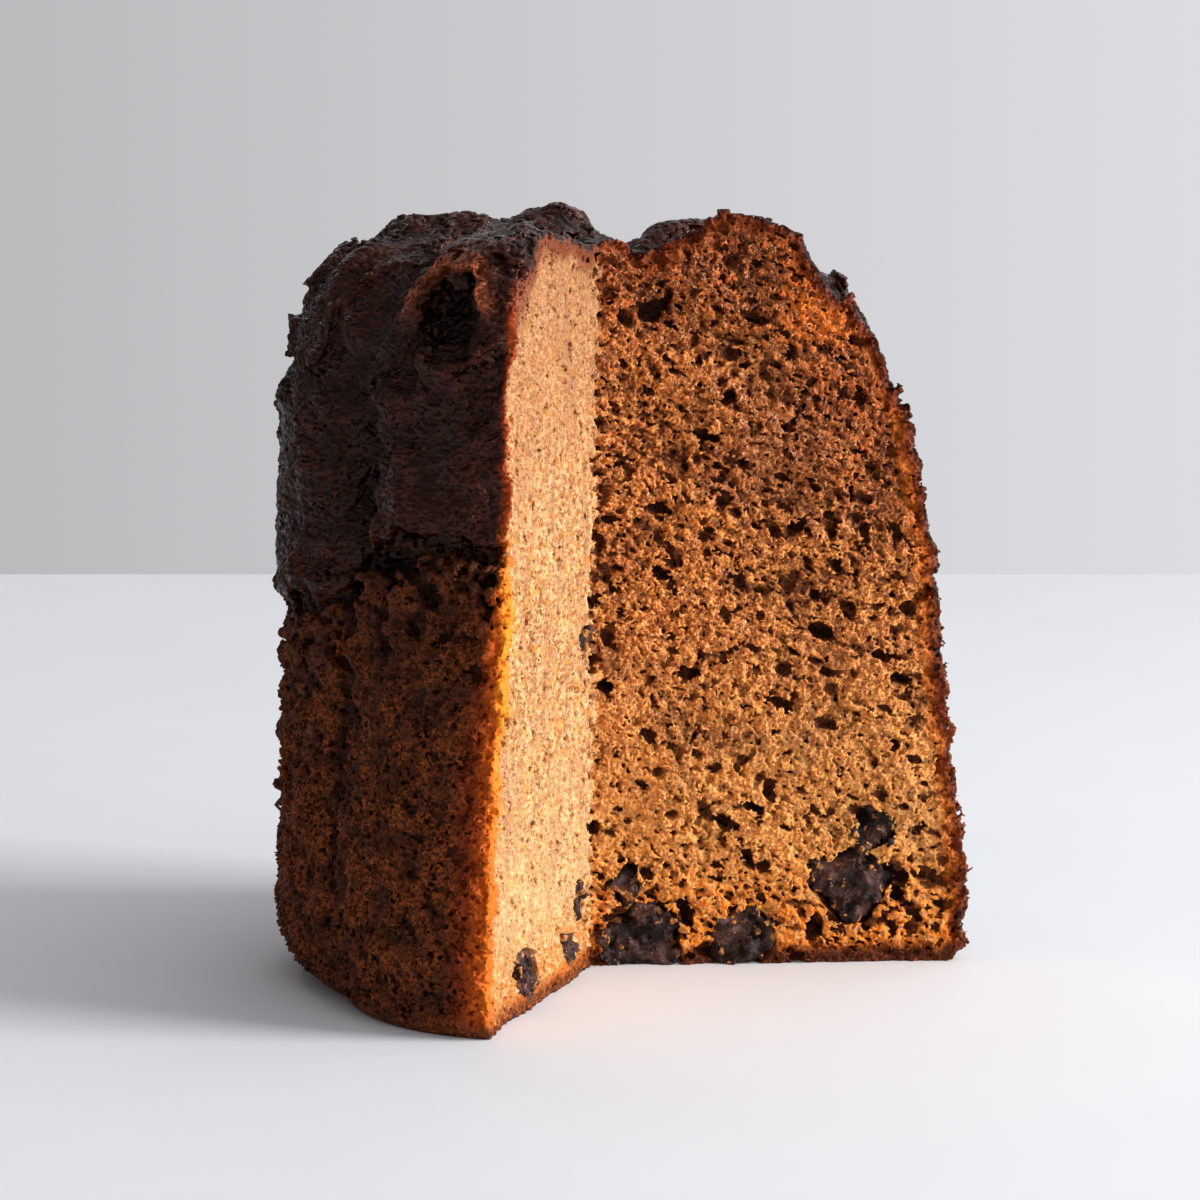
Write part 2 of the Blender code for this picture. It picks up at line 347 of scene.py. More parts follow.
def scattered_bubbles(face, seed):
    """Random bubbles that a cut face went through: distance along, height, behind, half sizes and tilt."""
    random = np.random.default_rng(seed)
    count = 1300 if face == "right" else 450
    along = random.uniform(-2.0, 47.0, count)
    height = random.uniform(0.0, 98.0, count)
    size = 0.28 + random.exponential(0.22 if face == "right" else 0.08, count)
    size = np.minimum(size, 1.2)
    long = random.uniform(1.0, 1.8, count)
    behind = random.uniform(-0.2, 0.7, count) * size
    tilt = random.normal(-25.0 if face == "right" else 0.0, 40.0, count)
    for a, h, b, s, l, t in zip(along, height, behind, size, long, tilt):
        yield a, h, b, (s * l, s * 1.15, s / l ** 0.5), t


def bubble_grid(shape, low):
    """How deep each grid point lies inside a bubble, in millimetres; negative outside them all."""
    inside = np.full(shape, -1.0, np.float32)
    for face, seed in (("right", 5), ("front", 6)):
        run, inward = face_axes(face)
        big = BIG_BUBBLES if face == "right" else ()
        bubbles = [*scattered_bubbles(face, seed), *((a, h, 0.3, half, t) for a, h, half, t in big)]
        for along, height, behind, half, tilt in bubbles:
            lean = blend(*CORNER_LEAN, min(1.0, height / CORNER_TOP)) if face == "front" else 0.0
            middle = INNER_CORNER + run * along + inward * (behind - lean)
            centre = np.array([middle[0], middle[1], height])
            reach = max(half) * 1.35 + VOXEL
            first = np.floor((centre - reach) / VOXEL).astype(int) - low
            last = np.ceil((centre + reach) / VOXEL).astype(int) - low + 1
            first = np.maximum(first, 0)
            last = np.minimum(last, shape)
            if (last <= first).any():
                continue
            x, y, z = (((np.arange(f, l) + o) * VOXEL - c).astype(np.float32)
                       for f, l, o, c in zip(first, last, low, centre))
            u = x[:, None, None] * run[0] + y[None, :, None] * run[1]
            v = x[:, None, None] * inward[0] + y[None, :, None] * inward[1]
            w = z[None, None, :]
            cosine, sine = math.cos(math.radians(tilt)), math.sin(math.radians(tilt))
            a = (u * cosine + w * sine) / half[0]
            b = v / half[1]
            c = (-u * sine + w * cosine) / half[2]
            window = tuple(slice(f, l) for f, l in zip(first, last))
            depth = (1.0 - np.sqrt(a * a + b * b + c * c)) * min(half)
            np.maximum(inside[window], depth, out=inside[window])
    return inside


# ---------------------------------------------------------------- the carved solid

def oval_distance(spot, azimuth, radius, z):
    """Distance from the middle of an oval on the outside, 1 on its edge."""
    spot_azimuth, spot_z, half_across, half_up = spot
    across = angle_from(azimuth, spot_azimuth) * np.radians(1.0) * radius
    return np.hypot(across / half_across, (z - spot_z) / half_up)


def lip_height(azimuth, x, y, z):
    """Height of the lip near each point: it follows its line on the left and wanders on the far side."""
    away = 1 - bump(angle_from(azimuth, OVERHANG_AZIMUTH), 0.0, 50.0)
    wander = Noise(24.0, 15, 2.0, count=64).at(x, y, z)
    return np.interp(azimuth, LIP_AZIMUTHS, LIP_HEIGHTS) + LIP_WANDER * away * wander


def crust_rise(azimuth, radius, z, over, noise):
    """How far the crust stands out of the smooth outside, in millimetres."""
    risen = smooth_step(-0.4, 0.6, over)
    left = bump(angle_from(azimuth, OVERHANG_AZIMUTH), 0.0, 42.0)
    side = smooth_step(20.0, 34.0, radius) * blend(0.2, 1.0, left)
    # The lip stands out above its line, and the tin's crust draws in below it.
    rise = side * (0.7 * risen * bump(over, 0.5, 6.0) - 0.9 * (1 - risen) * bump(over, -0.6, 2.6))
    # The risen crust: a few long folds, thin lines beside them and a net of fine wrinkles.
    folded = risen * blend(0.35, 1.0, smooth_step(68.0, 80.0, z))
    rise += folded * (0.65 * np.tanh(3.5 * noise["crease"]) - 0.6 * bump(noise["crease"], 0.1, 0.09))
    net = np.minimum(np.abs(noise["wrinkle"]), 0.8)
    rise += risen * (0.35 * noise["broad"] + 0.2 * noise["fold"] + 0.55 * net + 0.14 * noise["swell"])
    rise += risen * (0.03 * noise["grain"] + 0.10 * np.minimum(np.abs(noise["pit"]), 0.9))
    # The tin's crust: lumps and caves below the lip, finer grains and pits further down.
    torn = (1 - risen) * blend(0.3, 1.0, bump(over, -4.0, 10.0) * left)
    rise += torn * (0.75 * noise["swell"] + 0.6 * noise["clump"])
    rise -= 2.6 * (1 - risen) * left * bump(over, -2.6, 2.2) * smooth_step(-0.3, 0.8, noise["fold"])
    rise += (1 - risen) * (0.22 * noise["grain"] - 0.6 * np.maximum(0.0, noise["pit"] - 0.4))
    # The hollow, the groove below it, the blister with its raised edge, and the humps and knobs.
    outer = smooth_step(24.0, 30.0, radius)
    hollow = oval_distance(HOLLOW, azimuth, radius, z) + 0.12 * noise["swell"]
    rise -= HOLLOW_DEPTH * outer * bump(hollow, 0.0, 1.1)
    groove = bump(angle_from(azimuth, GROOVE[0]) + 0.8 * noise["swell"], 0.0, GROOVE[1])
    rise -= GROOVE[2] * groove * smooth_step(10.0, 25.0, z) * (1 - smooth_step(50.0, 60.0, z))
    burst = oval_distance(BLISTER, azimuth, radius, z) + 0.14 * noise["swell"] + 0.09 * noise["clump"]
    lifted = smooth_step(BLISTER[1] - 1.0, BLISTER[1] + 4.0, z)
    rise += outer * (0.9 + 0.5 * noise["clump"]) * bump(burst, 1.12, 0.10) * lifted
    rise -= outer * BLISTER_DEPTH * (1 - smooth_step(0.45, 1.04, burst)) * smooth_step(75.0, 86.0, z)
    for hump_azimuth, hump_radius, width, out in TOP_HUMPS:
        turn = np.radians(angle_from(azimuth, hump_azimuth))
        away = np.sqrt(radius ** 2 + hump_radius ** 2 - 2 * radius * hump_radius * np.cos(turn))
        rise += out * bump(away, 0.0, width) * smooth_step(76.0, 86.0, z)
    for knob_azimuth, knob_z, width, out in KNOBS:
        rise += out * bump(oval_distance((knob_azimuth, knob_z, width, width), azimuth, radius, z), 0.0, 1.0)
    return rise


def cut_surface(x, y, z, right, front, depth, grain, broad):
    """Signed distance to the two cut faces, positive where the knife took the crumb or left a hole in it."""
    on_front = front > right
    slant = np.where(on_front, 0.0, 0.28) * x
    pore = Noise(1.15, 9, 0.24, stretch=(1.4, 1.1, 0.9)).at(x, y, z + slant)
    hole = Noise(2.4, 12, 0.4, stretch=(1.5, 1.1, 0.85)).at(x, y, z + slant)
    clump = Noise(2.0, 13, 0.4).at(x, y, z)
    gap = np.minimum(-right, -front)
    cut = gap + 0.25 * broad + np.where(on_front, 0.12, 0.16) * grain + np.where(on_front, 0.10, 0.17) * clump
    cut -= 0.55 * clump * bump(np.maximum(np.abs(right), np.abs(front)), 0.0, 2.2)
    # The knife smeared the front face nearly shut. The right one is calmer below the middle, not at its foot.
    calm = 0.35 * smooth_step(10.0, 20.0, z) * (1 - smooth_step(30.0, 60.0, z))
    smeared = np.where(on_front, 1.2, calm - 0.2 * (1 - smooth_step(8.0, 14.0, z)))
    open_crumb = np.maximum(0.40 * (hole - 1.25 - smeared), 0.23 * (pore - 0.75 - smeared))
    open_crumb += np.where(on_front, 0.0, 0.07) * grain
    open_crumb -= smooth_step(1.5, 2.4, -gap) + (1 - smooth_step(0.3, 1.6, depth))
    return np.maximum(cut, open_crumb)


def carve():
    """The cake's solid as a grid of signed distances, and the same for its crust before the cuts."""
    points, triangles, quads = outside_mesh()
    solid, low = distance_grid(points, triangles, quads, VOXEL, RAISED, CARVED)
    shape = np.array(solid.shape)
    x_line, y_line = ((np.arange(n) + o) * VOXEL for n, o in zip(shape[:2], low))
    x2, y2 = (a.astype(np.float32) for a in np.meshgrid(x_line, y_line, indexing="ij"))
    cuts = [face_place(face, x2, y2, CORNER_TOP / 2)[1] for face in ("right", "front")]
    gap2 = np.minimum(-cuts[0], -cuts[1])

    near = (solid < RAISED) & (solid > -CARVED) & (gap2 < CUT_BAND)[:, :, None]
    near |= (np.abs(gap2) < CUT_BAND)[:, :, None] & (solid < RAISED)
    flat = np.flatnonzero(near)
    del near
    i, rest = np.divmod(flat, shape[1] * shape[2])
    j, k = np.divmod(rest, shape[2])
    cells = [c.astype(np.int32) for c in (i, j, k)]
    x, y, z = (((c + o) * VOXEL).astype(np.float32) for c, o in zip(cells, low))
    azimuth = np.degrees(np.arctan2(y, x)) % 360.0
    radius = np.hypot(x, y)

    noise = {
        "grain": Noise(0.62, 1, VOXEL).at_cells(cells),
        "pit": Noise(1.3, 14, VOXEL).at_cells(cells),
        "clump": Noise(2.1, 2, VOXEL).at_cells(cells),
        "wrinkle": Noise(2.3, 8, VOXEL, stretch=(1.0, 1.0, 0.6)).at_cells(cells),
        "swell": Noise(5.0, 3, 0.7).at(x, y, z),
        "broad": Noise(13.0, 4, 1.6, count=64).at(x, y, z),
        "fold": Noise(7.0, 7, 0.9, count=64, stretch=(1.0, 1.0, 0.6)).at(x, y, z),
    }
    # Creases run down the crust to the left: long waves along that line, short ones across it.
    warp = 0.25 * noise["swell"] + 1.4 * noise["broad"]
    down = 0.64 * x + 0.77 * z
    aside = 0.77 * x - 0.64 * z
    noise["crease"] = Noise(10.0, 11, 1.0, count=64, stretch=(3.5, 1.8, 1.0)).at(down, y, aside + warp)

    over = z - lip_height(azimuth, x, y, z) - 0.9 * noise["broad"] - 0.5 * noise["swell"]
    rise = crust_rise(azimuth, radius, z, over, noise) * smooth_step(0.3, 2.5, z)
    outside = solid.ravel()[flat] - rise.astype(np.float32)
    skin = solid.copy()
    skin.ravel()[flat] = outside

    _, right = face_place("right", x, y, z)
    _, front = face_place("front", x, y, z)
    by_cut = np.flatnonzero(np.abs(np.maximum(right, front)) < CUT_BAND + 1.0)
    cut = np.full(len(flat), -CUT_BAND, np.float32)
    needed = (x, y, z, right, front, -outside, noise["grain"], noise["broad"])
    cut[by_cut] = cut_surface(*(values[by_cut] for values in needed))
    carved = np.maximum(outside, cut)

    bubbles = bubble_grid(shape, low).ravel()[flat]
    bubbles += np.where(bubbles > -0.9, 0.12 * noise["grain"] + 0.16 * noise["clump"], 0.0)
    carved = np.maximum(carved, bubbles)
    for index, chip in enumerate(CHIPS, start=1):
        pocket = chip_distance(chip, index, x, y, z) - 0.28 - 0.1 * noise["clump"]
        carved = np.maximum(carved, -pocket)
    solid.ravel()[flat] = carved
    wedge = np.broadcast_to((gap2 >= CUT_BAND)[:, :, None], solid.shape)
    solid[wedge] = np.maximum(solid[wedge], CUT_BAND)
    return solid, skin, low


def surface(solid, low, voxel):
    """The surface of a grid of distances, as points in millimetres and faces of four corners."""
    grid = openvdb.FloatGrid()
    grid.background = 3.0
    grid.transform = openvdb.createLinearTransform(voxelSize=voxel)
    grid.copyFromArray(solid, ijk=tuple(int(v) for v in low), tolerance=0.0)
    points, _, quads = grid.convertToPolygons(isovalue=0.0, adaptivity=0.0)
    return points, quads.astype(np.int64)


def largest_piece(points, quads):
    """Keeps the one connected piece with the most points: crumbs cut loose from it are dropped."""
    label = np.arange(len(points))
    edges = np.concatenate([quads[:, [0, 1]], quads[:, [1, 2]], quads[:, [2, 3]], quads[:, [3, 0]]])
    while True:
        least = np.minimum(label[edges[:, 0]], label[edges[:, 1]])
        after = label.copy()
        np.minimum.at(after, edges[:, 0], least)
        np.minimum.at(after, edges[:, 1], least)
        after = after[after]
        after = after[after]
        if (after == label).all():
            break
        label = after
    names, counts = np.unique(label, return_counts=True)
    keep = label == names[counts.argmax()]
    number = np.cumsum(keep) - 1
    quads = quads[keep[quads[:, 0]]]
    return points[keep], number[quads]


# ---------------------------------------------------------------- meshes

def sample_grid(values, low, voxel, points):
    """Values of a grid at points, blended between its cells."""
    scaled = points / voxel - low
    first = np.clip(np.floor(scaled).astype(int), 0, np.array(values.shape) - 2)
    part = np.clip(scaled - first, 0.0, 1.0)
    total = np.zeros(len(points))
    for corner in range(8):
        side = np.array([(corner >> axis) & 1 for axis in range(3)])
        weight = np.prod(np.where(side, part, 1 - part), axis=1)
        cell = first + side
        total += weight * values[cell[:, 0], cell[:, 1], cell[:, 2]]
    return total


def make_object(name, points, faces, slot, *nodes):
    """A smooth shaded piece from points in millimetres, riding on the cake's body in place of CAD nodes."""
    mesh = bpy.data.meshes.new(name)
    mesh.vertices.add(len(points))
    mesh.vertices.foreach_set("co", (points * MM).astype(np.float32).ravel())
    sides = faces.shape[1]
    mesh.loops.add(faces.size)
    mesh.loops.foreach_set("vertex_index", faces.astype(np.int32).ravel())
    mesh.polygons.add(len(faces))
    mesh.polygons.foreach_set("loop_start", np.arange(0, faces.size, sides, dtype=np.int32))
    mesh.polygons.foreach_set("loop_total", np.full(len(faces), sides, dtype=np.int32))
    mesh.update(calc_edges=True)
    mesh.shade_smooth()
    piece = bpy.data.objects.new(name, mesh)
    bpy.context.scene.collection.objects.link(piece)
    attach(piece, "root")
    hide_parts(*nodes)
    return piece


def add_values(mesh, name, values):
    attribute = mesh.attributes.new(name, "FLOAT", "POINT")
    attribute.data.foreach_set("value", values.astype(np.float32))


def add_map(mesh, points, faces, depth, right, front):
    """A map to bake on: the outside unrolled, then the cut faces, the top and the base square on."""
    middle = points[faces].mean(1)
    span = [points[faces[:, a]] - points[faces[:, b]] for a, b in ((2, 0), (3, 1))]
    up = np.cross(*span)[:, 2]
    up /= np.maximum(np.linalg.norm(np.cross(*span), axis=1), 1e-9)
    cut = depth[faces].mean(1) > CRUST
    on_front = front[faces].mean(1) > right[faces].mean(1)
    chart = np.where(cut, np.where(on_front, 1, 0), 2)
    chart[~cut & (up > 0.7) & (middle[:, 2] > 78.0)] = 3
    chart[~cut & (up < -0.7) & (middle[:, 2] < 1.0)] = 4

    corners = faces.ravel()
    x, y, z = points[corners].T
    turn = (np.degrees(np.arctan2(y, x)) - 310.0) % 360.0
    across = [face_place(face, x, y, z)[0] for face in ("right", "front")] + [turn, x, x]
    along = [z, z, z, y, y]
    # For each chart: where it starts on the map, and its scale along both directions.
    places = (
        (0.02, 0.38, 1 / 190, 1 / 190),
        (0.27, 0.38, 1 / 190, 1 / 190),
        (0.002, 0.005, 0.996 / 360, 1 / 275),
        (0.69, 0.55, 1 / 270, 1 / 270),
        (0.69, 0.85, 1 / 320, 1 / 320),
    )
    number = np.repeat(chart, faces.shape[1])
    values = np.empty((len(corners), 2), np.float32)
    for index, (u, v, u_scale, v_scale) in enumerate(places):
        here = number == index
        values[here, 0] = u + across[index][here] * u_scale
        values[here, 1] = v + along[index][here] * v_scale
    mesh.uv_layers.new(name="OFBake").data.foreach_set("uv", values.ravel())


def crust_depth(points, skin, skin_low):
    """Depths of points below the crust and behind both cuts, and how far the crust is pressed in there."""
    coarse = 1.0
    grid, low = distance_grid(*outside_mesh(180), voxel=coarse, outside=4.0, inside=14.0)
    far = -sample_grid(grid, low, coarse, points)
    near = -sample_grid(skin, skin_low, VOXEL, points)
    depth = blend(near, np.maximum(far, near), smooth_step(1.6, 2.8, near))
    x, y, z = points.T
    _, right = face_place("right", x, y, z)
    _, front = face_place("front", x, y, z)
    return depth, far - near, right, front


def make_cake():
    solid, skin, low = carve()
    points, quads = surface(solid, low, VOXEL)
    del solid
    points, quads = largest_piece(points, quads)
    points[:, 2] = np.maximum(points[:, 2], 0.0)
    faces = quads[:, ::-1]
    cake = make_object("cake_visual", points, faces, "cake", "cake")
    depth, hollow, right, front = crust_depth(points, skin, low)
    add_map(cake.data, points, faces, depth, right, front)
    azimuth = np.degrees(np.arctan2(points[:, 1], points[:, 0])) % 360.0
    add_values(cake.data, "depth", depth)
    add_values(cake.data, "hollow", hollow)
    add_values(cake.data, "behind", np.maximum(right, front))
    add_values(cake.data, "behind_front", front)
    add_values(cake.data, "on_front", smooth_step(-0.6, 0.6, front - right))
    add_values(cake.data, "above_lip", points[:, 2] - lip_height(azimuth, *points.T))
    radius = np.hypot(points[:, 0], points[:, 1])
    burst = oval_distance(BLISTER, azimuth, radius, points[:, 2])
    torn = bump(burst, 1.12, 0.17) * smooth_step(84.0, 88.0, points[:, 2]) * smooth_step(-0.1, -1.1, hollow)
    add_values(cake.data, "torn_edge", torn)
    # A mask round the hollow between the left lobe and the near one, for the painted shade in it.
    add_values(cake.data, "painted_cleft_shade", bump(oval_distance(HOLLOW, azimuth, radius, points[:, 2]), 0.0, 1.3))
    return cake


def make_chip(index, chip):
    """One lump of chocolate, broken off roughly along its cut face, with crumbs stuck to it."""
    name = f"chocolate_chip_{index}"
    voxel = CHIP_VOXEL
    low_corner, high_corner = (np.array(c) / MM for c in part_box(name))
    low = np.floor((low_corner - 1.5) / voxel).astype(int)
    high = np.ceil((high_corner + 1.5) / voxel).astype(int)
    lines = [np.arange(l, h) for l, h in zip(low, high)]
    cells = [c.ravel() for c in np.meshgrid(*lines, indexing="ij")]
    x, y, z = ((c * voxel).astype(np.float32) for c in cells)
    grain = Noise(0.6, 60 + index, voxel, count=64).at_cells(cells)
    clump = Noise(2.0, 80 + index, voxel, count=64).at_cells(cells)
    corners = Noise(4.5, 120 + index, voxel, count=96).at_cells(cells)
    lump = chip_distance(chip, index, x, y, z) + 0.08 * grain + 0.12 * clump + 0.45 * corners
    crumbs = Noise(2.0, 100 + index, voxel, count=64).at_cells(cells) + 1.5 * smooth_step(-1.4, -0.2, lump)
    crumbs = smooth_step(2.3, 2.8, crumbs + 0.4 * grain)
    _, behind = face_place(chip[0], x, y, z)
    flake = np.round(1.2 * corners + 0.5 * clump) * 0.3
    broken = 0.2 - behind + 0.08 * grain + 0.12 * clump + flake - 0.4 * crumbs
    shape = [len(line) for line in lines]
    solid = np.maximum(np.maximum(lump, broken), 0.02 - z).reshape(shape)
    points, quads = surface(solid.astype(np.float32), low, voxel)
    points, quads = largest_piece(points, quads)
    piece = make_object(name + "_visual", points, quads[:, ::-1], "chocolate", name)
    add_values(piece.data, "crumbs", sample_grid(crumbs.reshape(shape), low, voxel, points))
    return piece


# ---------------------------------------------------------------- materials

class Shader:
    """Builds one material's node tree: each call adds a node and returns its output."""

    def __init__(self, name):
        self.material = bpy.data.materials.new(name)
        self.material.use_nodes = True
        self.tree = self.material.node_tree
        self.principled = self.tree.nodes["Principled BSDF"]
        self.place = self.add("ShaderNodeTexCoord").outputs["Object"]

    def add(self, kind, **settings):
        node = self.tree.nodes.new(kind)
        for key, value in settings.items():
            setattr(node, key, value)
        return node

    def link(self, value, socket):
        if isinstance(value, bpy.types.NodeSocket):
            self.tree.links.new(value, socket)
        else:
            socket.default_value = value

    def set(self, name, value):
        self.link(value, self.principled.inputs[name])

    def attribute(self, name):
        return self.add("ShaderNodeAttribute", attribute_name=name).outputs["Fac"]

    def math(self, operation, first, second=0.0, clamp=False):
        node = self.add("ShaderNodeMath", operation=operation, use_clamp=clamp)
        self.link(first, node.inputs[0])
        self.link(second, node.inputs[1])
        return node.outputs[0]

    def step(self, value, low, high):
        """0 below low and 1 above high, smooth between; low may be the larger of the two."""
        node = self.add("ShaderNodeMapRange", interpolation_type="SMOOTHSTEP")
        self.link(value, node.inputs["Value"])
        node.inputs["From Min"].default_value = min(low, high)
        node.inputs["From Max"].default_value = max(low, high)
        node.inputs["To Min"].default_value = 0.0 if low < high else 1.0
        node.inputs["To Max"].default_value = 1.0 if low < high else 0.0
        return node.outputs["Result"]

    def noise(self, per_mm, detail=3.0, roughness=0.6, stretch=(1.0, 1.0, 1.0)):
        """Noise from 0 to 1 with per_mm waves in a millimetre."""
        moved = self.add("ShaderNodeMapping")
        self.link(self.place, moved.inputs["Vector"])
        moved.inputs["Scale"].default_value = [s * per_mm / MM for s in stretch]
        node = self.add("ShaderNodeTexNoise", noise_dimensions="3D")
        self.link(moved.outputs[0], node.inputs["Vector"])
        node.inputs["Scale"].default_value = 1.0
        node.inputs["Detail"].default_value = detail
        node.inputs["Roughness"].default_value = roughness
        return node.outputs["Fac"]

    def mix(self, share, low, high):
        node = self.add("ShaderNodeMix", data_type="RGBA")
        self.link(share, node.inputs["Factor"])
        self.link((*low, 1.0) if isinstance(low, tuple) else low, node.inputs["A"])
        self.link((*high, 1.0) if isinstance(high, tuple) else high, node.inputs["B"])
        return node.outputs["Result"]

    def bump(self, height, distance, strength=1.0, normal=None):
        node = self.add("ShaderNodeBump")
        node.inputs["Distance"].default_value = distance * MM
        node.inputs["Strength"].default_value = strength
        self.link(height, node.inputs["Height"])
        if normal is not None:
            self.link(normal, node.inputs["Normal"])
        return node.outputs["Normal"]


def spot(s, place, x, z, radius, patch):
    """1 round a point of the right face, fading over a ragged edge."""
    away = s.add("ShaderNodeCombineXYZ")
    s.link(s.math("SUBTRACT", place.outputs["X"], x * MM), away.inputs["X"])
    s.link(s.math("SUBTRACT", place.outputs["Z"], z * MM), away.inputs["Z"])
    length = s.add("ShaderNodeVectorMath", operation="LENGTH")
    s.link(away.outputs[0], length.inputs[0])
    ragged = s.math("ADD", s.math("DIVIDE", length.outputs["Value"], radius * MM), patch)
    return s.step(ragged, 1.75, 0.85)


def right_crumb(s, place, height, thick, behind, patch, speck, grain):
    """The open crumb: golden brown, with painted shade that leaves its ridges paler and makes it redder and
    darker down in its holes, a painted glow, painted shade near the top, painted highlight specks and painted
    light lower down.
    """
    colour = s.mix(s.step(grain, 0.40, 0.60), (0.34, 0.088, 0.016), (0.98, 0.39, 0.097))
    colour = s.mix(s.step(speck, 0.50, 0.38), colour, (0.25, 0.062, 0.012))
    colour = s.mix(s.math("MULTIPLY", s.step(patch, 0.5, 0.72), 0.45), colour, (0.66, 0.24, 0.036))
    dusk = s.math("MAXIMUM", s.step(s.noise(0.09, 2.0), 0.52, 0.64), spot(s, place, 21.0, 69.0, 12.0, patch))
    colour = s.mix(s.math("MULTIPLY", dusk, 0.5), colour, (0.19, 0.056, 0.026))
    toasted = s.math("MULTIPLY", s.step(thick, 18.0, 4.0), s.step(height, 44.0, 70.0))
    toast = s.mix(s.step(speck, 0.42, 0.6), (0.11, 0.017, 0.004), (0.56, 0.12, 0.015))
    colour = s.mix(s.math("MULTIPLY", toasted, 0.82), colour, toast)
    # Painted glow: a bright orange-red spot near the top of the right face, as if lit through the thin crumb
    # there.
    painted_glow_spot = s.math("MULTIPLY", spot(s, place, 27.0, 87.5, 9.0, patch), s.step(speck, 0.34, 0.54))
    colour = s.mix(s.math("MULTIPLY", painted_glow_spot, 0.88), colour, (1.0, 0.23, 0.011))
    # Painted light: the face is made paler and brighter towards the base, below about 50 mm, as if lit more
    # from below.
    colour = s.mix(s.math("MULTIPLY", s.step(height, 50.0, 8.0), 0.42), colour, (1.0, 0.50, 0.13))
    golden = s.math("MULTIPLY", s.step(height, 17.0, 4.0), s.step(speck, 0.36, 0.60))
    colour = s.mix(s.math("MULTIPLY", golden, 0.9), colour, (0.94, 0.24, 0.005))
    # Painted shade: dark patches over the top band of the face, from 76 to 90 mm.
    shaded = s.math("MULTIPLY", s.step(height, 76.0, 90.0), s.step(speck, 0.64, 0.44))
    colour = s.mix(s.math("MULTIPLY", shaded, 0.7), colour, (0.15, 0.034, 0.010))
    # Painted highlights: small pale glints scattered over the crumb.
    colour = s.mix(s.math("MULTIPLY", s.step(s.noise(4.2, 1.0), 0.60, 0.70), 0.65), colour, (1.0, 0.68, 0.38))
    # Painted shade: the crumb darkens the further it lies behind the cut face, down in its holes.
    colour = s.mix(s.math("MULTIPLY", s.step(behind, 0.1, 1.0), 0.92), colour, (0.080, 0.016, 0.0035))
    return s.mix(s.step(behind, 1.0, 2.2), colour, (0.016, 0.0035, 0.0010))


def front_crumb(s, height, behind, grain):
    """The crumb that the knife pressed smooth: pale and peach coloured, with grains and streaks down it."""
    flake = s.noise(1.5, 3.0, 0.8, (1.0, 0.35, 0.8))
    colour = s.mix(s.step(flake, 0.38, 0.60), (0.33, 0.120, 0.030), (0.82, 0.51, 0.245))
    colour = s.mix(s.math("MULTIPLY", s.step(grain, 0.52, 0.36), 0.5), colour, (0.36, 0.125, 0.030))
    streak = s.noise(0.45, 2.0, 0.6, (1.0, 1.0, 0.10))
    colour = s.mix(s.math("MULTIPLY", s.step(streak, 0.54, 0.42), 0.5), colour, (0.34, 0.155, 0.080))
    gold = s.noise(0.9, 2.0, 0.7, (1.0, 0.45, 1.0))
    colour = s.mix(s.math("MULTIPLY", s.step(gold, 0.54, 0.62), 0.6), colour, (0.64, 0.26, 0.030))
    # Painted shade darkens the face towards the top, above 50 mm, and painted light makes it paler towards
    # the base, below 36 mm.
    colour = s.mix(s.math("MULTIPLY", s.step(height, 50.0, 90.0), 0.6), colour, (0.30, 0.125, 0.052))
    colour = s.mix(s.math("MULTIPLY", s.step(height, 36.0, 12.0), 0.3), colour, (0.86, 0.55, 0.26))
    golden = s.math("MULTIPLY", s.step(height, 12.0, 3.5), s.step(flake, 0.62, 0.46))
    colour = s.mix(s.math("MULTIPLY", golden, 0.85), colour, (0.50, 0.165, 0.014))
    # Painted shade: darker where the crumb lies behind the cut face, in its dents.
    return s.mix(s.math("MULTIPLY", s.step(behind, 0.3, 1.4), 0.7), colour, (0.38, 0.12, 0.028))


